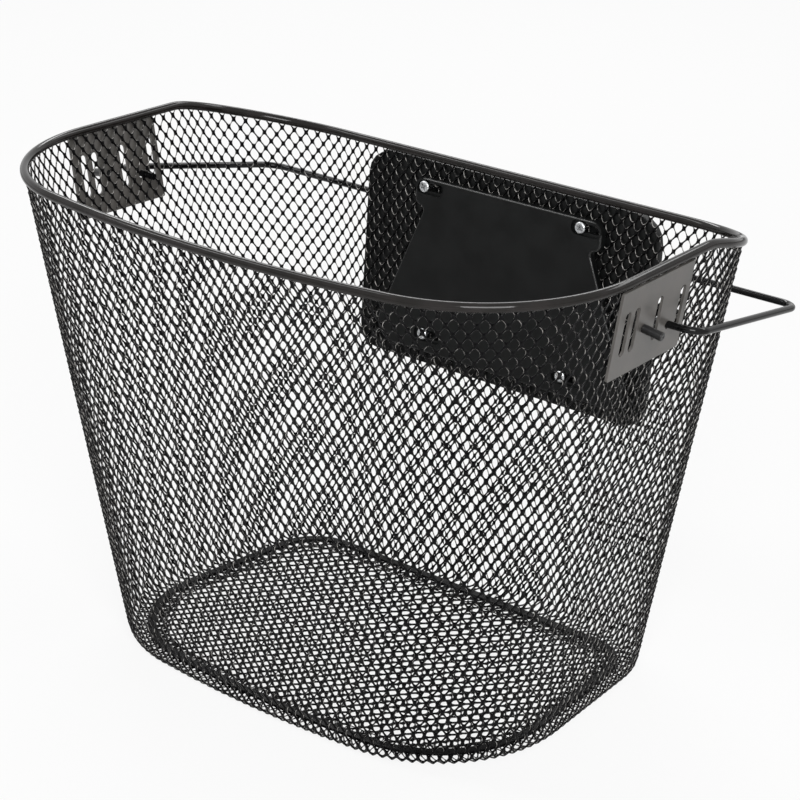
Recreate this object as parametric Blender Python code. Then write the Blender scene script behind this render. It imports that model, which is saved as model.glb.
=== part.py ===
"""Bicycle basket: expanded-metal walls on a wire rim, a folding wire handle and a carrier plate.

Metres, +Z up, the front of the basket towards -Y and the bicycle's side towards +Y.
The origin is under the middle of the basket, on the plane that it stands on.
Left and right are the rider's, so left is towards +X.
"""
import math

import bmesh
import bpy
from mathutils import Matrix, Vector

# Plan of the rim and of the foot, along the middle of the wire and of the sheet
rim_width = 0.380
rim_depth = 0.2457
rim_front_radius = 0.0883
rim_rear_radius = 0.0648
rim_side_turn = math.radians(2.37)
foot_width = 0.2860
foot_depth = 0.1959
foot_rear_in = 0.0219
foot_front_radius = 0.0775
foot_rear_radius = 0.0407
foot_side_turn = math.radians(5.6)
face_radius = 0.718

# Heights
rim_height = 0.2713
rear_dip = 0.0217
dip_length = 0.0779
dip_blend = 0.010

# Rim wire
rim_wire_radius = 0.0025
rim_stations = 84

# Expanded metal: the real cells are 7.3 mm by 10 mm, and these are drawn about five times as wide
mesh_columns = 31
wall_rows = 12
curl_rows = 2
corner_pull = 0.010
sheet_thickness = 0.0012
strand_width = 0.0034
hem_width = 0.0040
curl_radius = 0.006
lip_width = 0.012
floor_cell_width = 0.034
floor_cell_length = 0.046
floor_edge_in = 0.0045
floor_edge_width = 0.005
floor_edge_thickness = 0.0016
floor_edge_points = 64

# Clearances
seat_gap = 0.0003
turning_gap = 0.0004
swing_gap = 0.0010
cut_overrun = 0.002

# Side plates under the rim
plate_length = 0.0625
plate_height = 0.0472
plate_thickness = 0.0015
plate_corner_radius = 0.0012
plate_rear_overhang = 0.0145
twist_room = 0.0002
slot_width = 0.0046
slot_height = 0.024
slot_places = (-0.0400, -0.0320, -0.0118, 0.0085)

# Handle wire and its pivot
handle_radius = 0.0019
pivot_drop = 0.0330
pivot_from_rear = 0.1077
foot_reach_in = 0.009
arm_stand_off = 0.0210
arm_draw_in = 0.0150
foot_bend_radius = 0.008
corner_bend_radius = 0.012

# Pegs ahead of the handle
peg_radius = 0.0023
peg_length = 0.0112
peg_tenon_radius = 0.0014
peg_ahead = 0.0236
peg_rise = 0.0058
peg_chamfer_share = 0.15

# Clamp plate inside the rear wall; drops are measured down the wall from its top edge,
# and foot margins from the lower screws down to a plate's foot
clamp_top_drop = 0.0095
clamp_shift = 0.004
clamp_ear_half_width = 0.0665
clamp_ear_height = 0.017
clamp_neck_half_width = 0.0590
clamp_foot_half_width = 0.0955
clamp_foot_margin = 0.0109
clamp_thickness = 0.0042
clamp_ear_radius = 0.0075
clamp_ear_foot_radius = 0.0045
clamp_neck_radius = 0.0025
clamp_corner_radius = 0.012
clamp_edge_round = 0.0010
screw_slot_length = 0.0170
screw_slot_width = 0.0048
recess_width = 0.0086
recess_depth = 0.0016

# Carrier plate outside the rear wall
carrier_half_width = 0.104
carrier_top_drop = 0.002
carrier_foot_margin = 0.0194
carrier_thickness = 0.0060
carrier_corner_radius = 0.014
carrier_edge_round = 0.0012
pocket_depth = 0.0036
pocket_rib = 0.0030
pocket_margin = 0.0060
pocket_columns = 3
nut_boss = 0.0075

# Receiver channel that hangs on the bicycle's bracket
receiver_width = 0.074
receiver_depth = 0.0160
receiver_wall = 0.0045
receiver_root = 0.0010
receiver_lip = 0.0085
receiver_lip_thickness = 0.0040
receiver_height = 0.066
receiver_top_drop = 0.0327
catch_width = 0.024
catch_height = 0.007
catch_depth = 0.0030
catch_from_foot = 0.014

# Clamp screws and their captive nuts
screw_middle = 0.0560
screw_drop = 0.0151
low_screw_columns = 1
low_screw_rows = 5
low_screw_phase_share = 0.5
screw_radius = 0.0020
screw_head_radius = 0.0035
screw_head_height = 0.0022
screw_head_round = 0.0009
screw_end_inset = 0.0002
nut_across = 0.0070
nut_height = 0.0032
hexagon_sides = 6

arc_step = math.radians(20)
edge_limit = math.radians(60)
round_sides = 16
merge_distance = 0.00001
half = 0.5

# Places that follow from the sizes; out_y values are measured out of the rear wall's middle
curl_top_z = sheet_thickness * half + curl_radius
wall_top_drop = rim_wire_radius + seat_gap
rear_top_z = rim_height - rear_dip - wall_top_drop
rear_lean = math.atan2(foot_rear_in, rear_top_z - curl_top_z)
carrier_front_out_y = sheet_thickness * half + seat_gap
carrier_back_out_y = carrier_front_out_y + carrier_thickness
clamp_back_out_y = -carrier_front_out_y
receiver_back_out_y = carrier_back_out_y + receiver_depth
back_reach = receiver_back_out_y * math.cos(rear_lean) - receiver_top_drop * math.sin(rear_lean)
rear_y = (rim_depth + rim_wire_radius - back_reach) * half
front_y = rear_y - rim_depth
foot_rear_y = rear_y - foot_rear_in
foot_front_y = foot_rear_y - foot_depth
pivot_y = rear_y - pivot_from_rear
pivot_z = rim_height - pivot_drop


def clear_scene():
    for item in list(bpy.data.objects):
        bpy.data.objects.remove(item, do_unlink=True)


def make_material(name, colour, roughness, metallic=0.0):
    material = bpy.data.materials.new(name)
    material.use_nodes = True
    shader = material.node_tree.nodes["Principled BSDF"]
    shader.inputs["Base Color"].default_value = (*colour, 1)
    shader.inputs["Roughness"].default_value = roughness
    shader.inputs["Metallic"].default_value = metallic
    return material


def mesh_object(name, bm, material=None, origin=(0, 0, 0)):
    """Turn a bmesh in world places into an object whose origin is at the given point."""
    bmesh.ops.translate(bm, vec=-Vector(origin), verts=bm.verts)
    mesh = bpy.data.meshes.new(name)
    bm.to_mesh(mesh)
    bm.free()
    item = bpy.data.objects.new(name, mesh)
    item.location = origin
    bpy.context.collection.objects.link(item)
    if material:
        mesh.materials.append(material)
    return item


def boolean(target, tool, operation):
    """Cut or join with a helper object that stays out of the finished part."""
    modifier = target.modifiers.new(tool.name, "BOOLEAN")
    modifier.operation = operation
    modifier.object = tool
    modifier.solver = "EXACT"
    tool.hide_render = True
    tool.display_type = "WIRE"


def smooth(item, angle=math.radians(40)):
    item.data.shade_smooth()
    item.data.set_sharp_from_angle(angle=angle)


def mix(first, second, share):
    return first + (second - first) * share


# Plan outlines

def half_plan(share, inset):
    """Left half of the plan, rear middle to front middle; share runs from rim (0) to foot (1)."""
    width = mix(rim_width, foot_width, share) * half - inset
    front = mix(front_y, foot_front_y, share) + inset
    rear = mix(rear_y, foot_rear_y, share) - inset
    front_radius = mix(rim_front_radius, foot_front_radius, share) - inset
    rear_radius = mix(rim_rear_radius, foot_rear_radius, share) - inset
    turn = mix(rim_side_turn, foot_side_turn, share)
    face = face_radius - inset
    corner_x = width - front_radius
    corner_y = front + face - math.sqrt((face - front_radius) ** 2 - corner_x ** 2)
    along = math.cos(turn) * corner_x + math.sin(turn) * corner_y + front_radius - rear_radius
    rear_corner_y = rear - rear_radius
    rear_corner_x = (along - rear_corner_y * math.sin(turn)) / math.cos(turn)
    start = math.atan2(corner_y - front - face, corner_x)
    arcs = (
        (rear_corner_x, rear_corner_y, rear_radius, math.pi / 2, turn),
        (corner_x, corner_y, front_radius, turn, start),
        (0, front + face, face, start, -math.pi / 2),
    )
    points = [Vector((0, rear))]
    for x, y, radius, first, last in arcs:
        steps = max(2, round(abs(last - first) / math.radians(3)))
        for step in range(steps + 1):
            angle = mix(first, last, step / steps)
            points.append(Vector((x + radius * math.cos(angle), y + radius * math.sin(angle))))
    return points


def even_stations(points, count, phase, pull):
    """Whole loop of plan points, spaced evenly along it and closer where it turns by pull."""
    loop = points + [Vector((-p.x, p.y)) for p in reversed(points[1:-1])]
    marks = [0.0]
    for index in range(len(loop)):
        here, there = loop[index], loop[(index + 1) % len(loop)]
        after = loop[(index + 2) % len(loop)]
        step = there - here
        turn = 0.0
        if step.length and (after - there).length:
            turn = abs(step.angle_signed(after - there))
        marks.append(marks[-1] + step.length + pull * turn)
    stations = []
    index = 0
    for number in range(count):
        place = (number + phase) * marks[-1] / count
        while marks[index + 1] < place:
            index += 1
        share = (place - marks[index]) / (marks[index + 1] - marks[index])
        stations.append(loop[index].lerp(loop[(index + 1) % len(loop)], share))
    return stations


def rim_z(y):
    """Height of the rim's wire: level, then down to the rear wall over the dip's length."""
    start = rear_y - dip_length
    run = max(0.0, y - start)
    eased = run * run / (run + dip_blend)
    full = dip_length * dip_length / (dip_length + dip_blend)
    return rim_height - rear_dip * eased / full


def wall_ring(share, phase, inset=0.0, z=None):
    """One ring of lattice points on the wall, at a share of the way from rim to foot."""
    top = even_stations(half_plan(0, 0), mesh_columns, phase, corner_pull)
    here = even_stations(half_plan(share, inset), mesh_columns, phase, corner_pull)
    points = []
    for above, point in zip(top, here):
        level = z if z is not None else mix(rim_z(above.y) - wall_top_drop, curl_top_z, share)
        points.append(Vector((point.x, point.y, level)))
    return points


# Expanded metal

def wall_share(row):
    """Share of the way down the straight wall at which a row of lattice points lies."""
    straight = rim_height - wall_top_drop - curl_top_z
    return mix(hem_width / straight, 1, row / wall_rows)


def wall_rings():
    """Rings of the wall lattice: hem, straight wall, curl under the basket, lip and its hem."""
    rings = [wall_ring(0, half)]
    for row in range(wall_rows + 1):
        rings.append(wall_ring(wall_share(row), half * ((row + 1) % 2)))
    for step in range(1, curl_rows + 1):
        angle = math.pi / 2 * step / curl_rows
        inset = curl_radius * (1 - math.cos(angle))
        level = curl_top_z - curl_radius * math.sin(angle)
        rings.append(wall_ring(1, half * ((wall_rows + step + 1) % 2), inset, level))
    phase = half * ((wall_rows + curl_rows) % 2)
    for reach in (lip_width, lip_width + hem_width):
        rings.append(wall_ring(1, phase, curl_radius + reach, sheet_thickness * half))
    return rings


def staggered_cells(rows):
    """Corner points of the diamonds, and of the half diamonds in the first and the last row."""
    count = len(rows[0])
    cells = []
    for index, row in enumerate(rows):
        shift = (index + 1) % 2
        for column in range(count):
            here, beside = row[column], row[(column + 1) % count]
            middle = (column + shift) % count
            corners = [here, beside]
            if index + 1 < len(rows):
                corners.insert(1, rows[index + 1][middle])
            if index:
                corners.insert(0, rows[index - 1][middle])
            cells.append(corners)
    return cells


def open_cells(bm, cells):
    """Bevel the edges of the cell faces into strands, then take away what is left of the cells."""
    for face in cells:
        face.material_index = 1
    edges = {edge for face in cells for edge in face.edges if len(edge.link_faces) == 2}
    bmesh.ops.bevel(
        bm, geom=list(edges), offset=strand_width * half, offset_type="OFFSET", segments=1,
        profile=0.5, affect="EDGES", clamp_overlap=False, material=0,
    )
    holes = [face for face in bm.faces if face.material_index == 1]
    bmesh.ops.delete(bm, geom=holes, context="FACES")


def sheet(item):
    """Give an open lattice the thickness of its sheet, half to each side."""
    modifier = item.modifiers.new("sheet thickness", "SOLIDIFY")
    modifier.thickness = sheet_thickness
    modifier.offset = 0
    modifier.use_even_offset = True
    return item


def make_wall(material):
    bm = bmesh.new()
    rows = [[bm.verts.new(point) for point in ring] for ring in wall_rings()]
    count = len(rows[0])
    for first, second in ((rows[0], rows[1]), (rows[-2], rows[-1])):
        for column in range(count):
            beside = (column + 1) % count
            bm.faces.new((first[column], second[column], second[beside], first[beside]))
    cells = [bm.faces.new(corners) for corners in staggered_cells(rows[1:-1])]
    bmesh.ops.recalc_face_normals(bm, faces=bm.faces)
    open_cells(bm, cells)
    return sheet(mesh_object("wall_mesh", bm, material))


def floor_plan(inset):
    """Closed outline of the floor, inside the curl by the inset."""
    return even_stations(half_plan(1, curl_radius + floor_edge_in + inset), floor_edge_points, 0, corner_pull)


def make_floor(material):
    """Flat lattice trimmed to the foot's plan and edged with a band, lying on the wall's lip."""
    middle = sheet_thickness + seat_gap + floor_edge_thickness * half
    columns = math.ceil(foot_width / floor_cell_width)
    rows = math.ceil(foot_depth / floor_cell_length) * 2
    centre_y = (foot_rear_y + foot_front_y) * half
    bm = bmesh.new()
    grid = []
    for row in range(rows + 1):
        y = centre_y + (row - rows * half) * floor_cell_length * half
        shift = half * (row % 2)
        grid.append([
            bm.verts.new(((column - columns * half + shift) * floor_cell_width, y, middle))
            for column in range(columns + 1)
        ])
    cells = []
    for row in range(1, rows):
        shift = row % 2
        for column in range(columns):
            over = column + shift
            if over <= columns:
                corners = (grid[row][column], grid[row - 1][over], grid[row][column + 1], grid[row + 1][over])
                cells.append(bm.faces.new(corners))
    bmesh.ops.recalc_face_normals(bm, faces=bm.faces)
    open_cells(bm, cells)
    floor = sheet(mesh_object("floor_mesh", bm, material))
    low = sheet_thickness + seat_gap
    rise = Vector((0, 0, floor_edge_thickness))
    inside = [point.to_3d() + Vector((0, 0, low)) for point in floor_plan(floor_edge_width * half)]
    trim = mesh_object("floor_trim", slab([p - rise for p in inside], rise * 3))
    outer = [point.to_3d() + Vector((0, 0, low)) for point in floor_plan(0)]
    inner = [point.to_3d() + Vector((0, 0, low)) for point in floor_plan(floor_edge_width)]
    band = mesh_object("floor_band", ring_slab(outer, inner, rise))
    boolean(floor, trim, "INTERSECT")
    boolean(floor, band, "UNION")
    return floor


# Shapes that several pieces share

def slab(points, along):
    """Flat outline pushed along a vector into a closed solid."""
    bm = bmesh.new()
    face = bm.faces.new([bm.verts.new(point) for point in points])
    grown = bmesh.ops.extrude_face_region(bm, geom=[face])
    moved = [item for item in grown["geom"] if isinstance(item, bmesh.types.BMVert)]
    bmesh.ops.translate(bm, vec=along, verts=moved)
    bmesh.ops.recalc_face_normals(bm, faces=bm.faces)
    return bm


def ring_slab(outer, inner, along):
    """Band between two outlines with the same number of points, pushed along a vector."""
    bm = bmesh.new()
    count = len(outer)
    loops = [[bm.verts.new(point) for point in loop] for loop in (outer, inner)]
    for column in range(count):
        beside = (column + 1) % count
        bm.faces.new((loops[0][column], loops[0][beside], loops[1][beside], loops[1][column]))
    grown = bmesh.ops.extrude_face_region(bm, geom=bm.faces[:])
    moved = [item for item in grown["geom"] if isinstance(item, bmesh.types.BMVert)]
    bmesh.ops.translate(bm, vec=along, verts=moved)
    bmesh.ops.recalc_face_normals(bm, faces=bm.faces)
    return bm


def fillet(points, radii, closed=True):
    """Replace each corner of a path by an arc of its radius; a radius of zero keeps the corner."""
    path = []
    count = len(points)
    for index, (point, radius) in enumerate(zip(points, radii)):
        if not radius or (not closed and index in (0, count - 1)):
            path.append(point.copy())
            continue
        back = (points[index - 1] - point).normalized()
        ahead = (points[(index + 1) % count] - point).normalized()
        opening = back.angle(ahead)
        centre = point + (back + ahead).normalized() * radius / math.sin(opening * half)
        run = radius / math.tan(opening * half)
        first, last = point + back * run - centre, point + ahead * run - centre
        turn = first.angle(last)
        steps = max(2, round(turn / arc_step))
        for step in range(steps + 1):
            share = step / steps
            arm = first * math.sin((1 - share) * turn) + last * math.sin(share * turn)
            path.append(centre + arm / math.sin(turn))
    return path


def upright_outline(points, radii, y):
    """Filleted outline in the XZ plane at a given y."""
    return fillet([Vector((x, y, z)) for x, z in points], radii)


def upright_box(x_low, x_high, y_low, y_high, z_low, z_high):
    corners = [(x_low, y_low, z_low), (x_high, y_low, z_low), (x_high, y_low, z_high), (x_low, y_low, z_high)]
    return slab([Vector(corner) for corner in corners], Vector((0, y_high - y_low, 0)))


def turned(profile, place, axis):
    """Spin (radius, distance) pairs about an axis through a place into a closed solid."""
    bm = bmesh.new()
    turn = Vector((0, 0, 1)).rotation_difference(axis).to_matrix().to_4x4()
    verts = [bm.verts.new((radius, 0, distance)) for radius, distance in profile]
    edges = [bm.edges.new(pair) for pair in zip(verts, verts[1:])]
    bmesh.ops.spin(
        bm, geom=verts + edges, cent=(0, 0, 0), axis=(0, 0, 1), dvec=(0, 0, 0),
        angle=math.tau, steps=round_sides, use_merge=True,
    )
    bmesh.ops.remove_doubles(bm, verts=bm.verts, dist=merge_distance)
    bmesh.ops.recalc_face_normals(bm, faces=bm.faces)
    bmesh.ops.transform(bm, matrix=Matrix.Translation(place) @ turn, verts=bm.verts)
    return bm


def gather(solids):
    """Several closed solids as one bmesh."""
    whole = bmesh.new()
    for solid in solids:
        part = bpy.data.meshes.new("part")
        solid.to_mesh(part)
        solid.free()
        whole.from_mesh(part)
        bpy.data.meshes.remove(part)
    return whole


def wire(name, points, radius, material, origin=(0, 0, 0), closed=False):
    """Round wire along a path, as a curve with a bevel and filled ends."""
    curve = bpy.data.curves.new(name, "CURVE")
    curve.dimensions = "3D"
    curve.bevel_depth = radius
    curve.bevel_resolution = 2
    curve.use_fill_caps = not closed
    spline = curve.splines.new("POLY")
    spline.points.add(len(points) - 1)
    for target, point in zip(spline.points, points):
        target.co = (*(point - Vector(origin)), 1)
    spline.use_cyclic_u = closed
    curve.materials.append(material)
    item = bpy.data.objects.new(name, curve)
    item.location = origin
    bpy.context.collection.objects.link(item)
    return item


# Rim and handle

def make_rim(material):
    plan = even_stations(half_plan(0, 0), rim_stations, 0, corner_pull)
    points = [Vector((point.x, point.y, rim_z(point.y))) for point in plan]
    return wire("rim_wire", points, rim_wire_radius, material, closed=True)


def make_handle(material):
    """One wire: foot, arm, crossbar, arm and foot. Its origin is on the line of the two feet."""
    wall_x = side_wall_point(pivot_y, pivot_z).x
    root = wall_x + arm_stand_off
    crossbar_out_y = carrier_back_out_y + swing_gap + handle_radius
    crossbar_drop = receiver_top_drop - seat_gap - handle_radius
    crossbar = rear_frame() @ Vector((root - arm_draw_in, crossbar_out_y, -crossbar_drop))
    left = [
        Vector((wall_x - foot_reach_in, pivot_y, pivot_z)),
        Vector((root, pivot_y, pivot_z)),
        crossbar,
    ]
    right = [Vector((-point.x, point.y, point.z)) for point in reversed(left)]
    radii = (0, foot_bend_radius, corner_bend_radius, corner_bend_radius, foot_bend_radius, 0)
    path = fillet(left + right, radii, closed=False)
    return wire("handle", path, handle_radius, material, origin=(0, pivot_y, pivot_z))


# Side plates and pegs

def side_wall_point(y, z):
    """Point on the middle of the left wall's sheet, on its flat stretch."""
    top = rim_z(y) - wall_top_drop
    share = (top - z) / (top - curl_top_z)
    turn = mix(rim_side_turn, foot_side_turn, share)
    width = mix(rim_width, foot_width, share) * half
    radius = mix(rim_front_radius, foot_front_radius, share)
    front = mix(front_y, foot_front_y, share)
    corner_x = width - radius
    corner_y = front + face_radius - math.sqrt((face_radius - radius) ** 2 - corner_x ** 2)
    along = math.cos(turn) * corner_x + math.sin(turn) * corner_y + radius
    return Vector(((along - y * math.sin(turn)) / math.cos(turn), y, z))


def plate_frame():
    """Axes of the left plate: its inner face's point at the pivot, rearward, up and outward."""
    rear = pivot_y + plate_rear_overhang
    front = rear - plate_length
    top = rim_height - wall_top_drop
    middle_y, middle_z = (rear + front) * half, top - plate_height * half
    rearward = (side_wall_point(rear, middle_z) - side_wall_point(front, middle_z)).normalized()
    upward = side_wall_point(middle_y, top) - side_wall_point(middle_y, top - plate_height)
    outward = rearward.cross(upward).normalized()
    upward = outward.cross(rearward).normalized()
    face = side_wall_point(pivot_y, pivot_z) + outward * (sheet_thickness * half + seat_gap + twist_room)
    return face, rearward, upward, outward


def make_side_plates(material):
    face, rearward, upward, outward = plate_frame()

    def place(back, rise):
        return face + rearward * back + upward * rise

    top = (rim_height - wall_top_drop - face.z) / upward.z
    low = top - plate_height
    front = plate_rear_overhang - plate_length
    corners = [place(front, low), place(plate_rear_overhang, low), place(plate_rear_overhang, top), place(front, top)]
    plate = slab(fillet(corners, [plate_corner_radius] * 4), outward * plate_thickness)
    cuts = []
    depth = plate_thickness + cut_overrun * 2
    start = -cut_overrun
    middle = (top + low) * half
    for back in slot_places:
        ends = [
            place(back - slot_width * half, middle - slot_height * half),
            place(back + slot_width * half, middle - slot_height * half),
            place(back + slot_width * half, middle + slot_height * half),
            place(back - slot_width * half, middle + slot_height * half),
        ]
        ends = [point + outward * start for point in ends]
        cuts.append(slab(fillet(ends, [slot_width * half - merge_distance] * 4), outward * depth))
    hole = handle_radius + turning_gap
    cuts.append(turned(
        [(0, 0), (hole, 0), (hole, depth + cut_overrun), (0, depth + cut_overrun)],
        face - Vector((cut_overrun, 0, 0)), Vector((1, 0, 0)),
    ))
    tenon = peg_tenon_radius + seat_gap
    peg_place = place(-peg_ahead, peg_rise)
    cuts.append(turned([(0, 0), (tenon, 0), (tenon, depth), (0, depth)], peg_place + outward * start, outward))
    shapes = {"left": (plate, gather(cuts))}
    shapes["right"] = tuple(mirrored(shape) for shape in shapes["left"])
    for side, (body, cutter) in shapes.items():
        item = mesh_object("side_plate_" + side, body, material)
        boolean(item, mesh_object("side_plate_holes_" + side, cutter), "DIFFERENCE")


def mirrored(bm):
    """Copy of a solid on the other side of the basket."""
    copy = bm.copy()
    bmesh.ops.scale(copy, vec=(-1, 1, 1), verts=copy.verts)
    bmesh.ops.reverse_faces(copy, faces=copy.faces)
    return copy


def make_pegs(material):
    """Round pegs riveted into the plates: a tenon through the plate and a chamfered free end."""
    face, rearward, upward, outward = plate_frame()
    place = face - rearward * peg_ahead + upward * peg_rise
    shoulder = plate_thickness + seat_gap
    chamfer = peg_radius * peg_chamfer_share
    profile = [
        (0, 0), (peg_tenon_radius, 0), (peg_tenon_radius, shoulder), (peg_radius, shoulder),
        (peg_radius, shoulder + peg_length - chamfer), (peg_radius - chamfer, shoulder + peg_length),
        (0, shoulder + peg_length),
    ]
    left = turned(profile, place, outward)
    right = mirrored(left)
    for side, solid in (("left", left), ("right", right)):
        smooth(mesh_object("side_peg_" + side, solid, material))


# Clamp plate, carrier plate and their fasteners, all drawn in the rear wall's own frame

def rear_frame():
    """Frame on the rear wall: origin at the middle of its top edge, Y out of it and Z up it."""
    return Matrix.Translation((0, rear_y, rear_top_z)) @ Matrix.Rotation(-rear_lean, 4, "X")


def rear_object(name, bm, material=None):
    """Object drawn in the rear wall's frame and leaning with that wall."""
    item = mesh_object(name, bm, material)
    item.location = (0, rear_y, rear_top_z)
    item.rotation_euler.x = -rear_lean
    return item


def screw_places():
    """Where the four screws cross the rear wall: two in the ears, two through lower cells."""
    lower = wall_ring(wall_share(low_screw_rows), low_screw_phase_share)[low_screw_columns]
    lower_z = (rear_frame().inverted() @ lower).z
    return [(-screw_middle, -screw_drop), (screw_middle, -screw_drop), (-lower.x, lower_z), (lower.x, lower_z)]


def plate_foot(margin):
    """Height of a plate's foot, a margin below the two lower screws."""
    return screw_places()[-1][1] - margin


def screw_slots():
    """Middles of the four slots of the clamp plate, which sits a little to one side."""
    return [(x + clamp_shift, z) for x, z in screw_places()]


def obround(middle, length, width, y):
    x, z = middle
    points = [
        (x - length * half, z - width * half), (x + length * half, z - width * half),
        (x + length * half, z + width * half), (x - length * half, z + width * half),
    ]
    return upright_outline(points, [width * half - merge_distance] * 4, y)


def rounded_edge(item, width):
    """Round the sharp outer edges of a flat plate."""
    edge = item.modifiers.new("rounded edge", "BEVEL")
    edge.width = width
    edge.segments = 2
    edge.limit_method = "ANGLE"
    edge.angle_limit = edge_limit
    return item


def drill(places, radius, start, length):
    """Round cutters along Y through the given (x, z) places."""
    profile = [(0, 0), (radius, 0), (radius, length), (0, length)]
    return gather([turned(profile, Vector((x, start, z)), Vector((0, 1, 0))) for x, z in places])


def make_clamp_plate(material):
    top = -clamp_top_drop
    neck = top - clamp_ear_height
    foot = plate_foot(clamp_foot_margin)
    right = [
        (clamp_ear_half_width, top), (clamp_ear_half_width, neck),
        (clamp_neck_half_width, neck), (clamp_foot_half_width, foot),
    ]
    radii = [clamp_ear_radius, clamp_ear_foot_radius, clamp_neck_radius, clamp_corner_radius]
    points = right + [(-x, z) for x, z in reversed(right)]
    front = clamp_back_out_y - clamp_thickness
    outline = upright_outline([(x + clamp_shift, z) for x, z in points], radii + radii[::-1], front)
    plate = rear_object("clamp_plate", slab(outline, Vector((0, clamp_thickness, 0))), material)
    rounded_edge(plate, clamp_edge_round)
    start = front - cut_overrun
    wider = recess_width - screw_slot_width
    shallow = [obround(place, screw_slot_length + wider, recess_width, start) for place in screw_slots()]
    through = [obround(place, screw_slot_length, screw_slot_width, start) for place in screw_slots()]
    depths = (cut_overrun + recess_depth, clamp_thickness + cut_overrun * 2)
    for name, outlines, depth in zip(("clamp_recesses", "clamp_slots"), (shallow, through), depths):
        cuts = gather([slab(points, Vector((0, depth, 0))) for points in outlines])
        boolean(plate, rear_object(name, cuts), "DIFFERENCE")


def make_carrier_plate(material):
    """Plate outside the rear wall, ribbed behind, with the channel for the bicycle's bracket."""
    top = -carrier_top_drop
    foot = plate_foot(carrier_foot_margin)
    corners = [
        (carrier_half_width, top), (carrier_half_width, foot),
        (-carrier_half_width, foot), (-carrier_half_width, top),
    ]
    outline = upright_outline(corners, [carrier_corner_radius] * 4, carrier_front_out_y)
    plate = rear_object("carrier_plate", slab(outline, Vector((0, carrier_thickness, 0))), material)
    rounded_edge(plate, carrier_edge_round)
    back = carrier_back_out_y + receiver_depth
    receiver_top = -receiver_top_drop
    receiver_foot = receiver_top - receiver_height
    outside = receiver_width * half
    channel = upright_box(
        -outside, outside, carrier_back_out_y - receiver_root, back, receiver_foot, receiver_top,
    )
    boolean(plate, rear_object("receiver_block", channel), "UNION")
    inside = outside - receiver_wall
    mouth = inside - receiver_lip
    slot_foot = receiver_foot - cut_overrun
    slot_top = receiver_top - receiver_wall
    lips = back - receiver_lip_thickness
    catch_foot = receiver_foot + catch_from_foot
    catch = catch_width * half
    cuts = {
        "receiver_hollow": upright_box(-inside, inside, carrier_back_out_y, lips, slot_foot, slot_top),
        "receiver_mouth": upright_box(
            -mouth, mouth, lips - cut_overrun, back + cut_overrun, slot_foot, slot_top,
        ),
        "catch_recess": upright_box(
            -catch, catch, carrier_back_out_y - catch_depth, carrier_back_out_y + cut_overrun,
            catch_foot, catch_foot + catch_height,
        ),
        "carrier_pockets": gather(carrier_pockets(foot)),
        "carrier_screw_holes": drill(
            screw_places(), screw_radius + seat_gap, carrier_front_out_y - cut_overrun,
            carrier_thickness + cut_overrun * 2,
        ),
        "carrier_nut_nests": nut_nests(),
    }
    for name, cutter in cuts.items():
        boolean(plate, rear_object(name, cutter), "DIFFERENCE")


def carrier_pockets(foot):
    """Hollows between the ribs on the plate's back, beside the channel, clear of the nuts."""
    cuts = []
    low_nut = screw_places()[3][1]
    high_nut = screw_places()[1][1]
    bands = (
        (foot + pocket_margin, low_nut - nut_boss),
        (low_nut + nut_boss, high_nut - nut_boss),
    )
    near = receiver_width * half + pocket_rib
    far = carrier_half_width - pocket_margin
    pitch = (far - near + pocket_rib) / pocket_columns
    front, back = carrier_back_out_y - pocket_depth, carrier_back_out_y + cut_overrun
    for low, high in bands:
        for column in range(pocket_columns):
            start = near + column * pitch
            end = start + pitch - pocket_rib
            for x_low, x_high in ((start, end), (-end, -start)):
                cuts.append(upright_box(x_low, x_high, front, back, low, high))
    return cuts


def hexagon(across, y, x=0.0, z=0.0):
    """Corners and side middles of an upright hexagon about a place in the XZ plane."""
    points = []
    for corner in range(hexagon_sides):
        for turn, reach in ((0, across * half / math.cos(math.pi / hexagon_sides)), (half, across * half)):
            angle = math.tau * (corner + turn) / hexagon_sides
            points.append(Vector((x + reach * math.cos(angle), y, z + reach * math.sin(angle))))
    return points


def nut_nests():
    """Hexagonal cutters a gap wider and deeper than the nuts, open at the plate's back."""
    front = carrier_back_out_y - nut_height - seat_gap * 2
    depth = Vector((0, nut_height + seat_gap * 2 + cut_overrun, 0))
    across = nut_across + seat_gap * 2
    return gather([slab(hexagon(across, front, x, z), depth) for x, z in screw_places()])


def at_screws(item, label):
    """Put an item at each of the four screws, all sharing one mesh."""
    for number, (x, z) in enumerate(screw_places()):
        copy = item
        if number:
            copy = item.copy()
            bpy.context.collection.objects.link(copy)
        copy.name = label + ("_upper" if number < 2 else "_lower") + ("_left" if number % 2 else "_right")
        copy.location = rear_frame() @ Vector((x, 0, z))


def make_screws(material):
    """Pan-head screws from the inside, through both plates and the mesh between them."""
    seat = clamp_back_out_y - clamp_thickness + recess_depth - seat_gap
    length = carrier_back_out_y - screw_end_inset - seat
    crown = screw_head_height - screw_head_round
    profile = [
        (0, -length), (screw_radius, -length), (screw_radius, 0), (screw_head_radius, 0),
        (screw_head_radius, crown), (screw_head_radius - screw_head_round, screw_head_height),
        (0, screw_head_height),
    ]
    screw = rear_object("clamp_screw", turned(profile, Vector((0, seat, 0)), Vector((0, -1, 0))), material)
    smooth(screw)
    at_screws(screw, "clamp_screw")


def make_nuts(material):
    """Hexagon nuts held in the carrier plate's nests."""
    front = carrier_back_out_y - nut_height - seat_gap
    outer = hexagon(nut_across, front)
    bore = screw_radius + seat_gap
    inner = [Vector((point.x, 0, point.z)).normalized() * bore + Vector((0, front, 0)) for point in outer]
    nut = rear_object("clamp_nut", ring_slab(outer, inner, Vector((0, nut_height, 0))), material)
    at_screws(nut, "clamp_nut")


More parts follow.
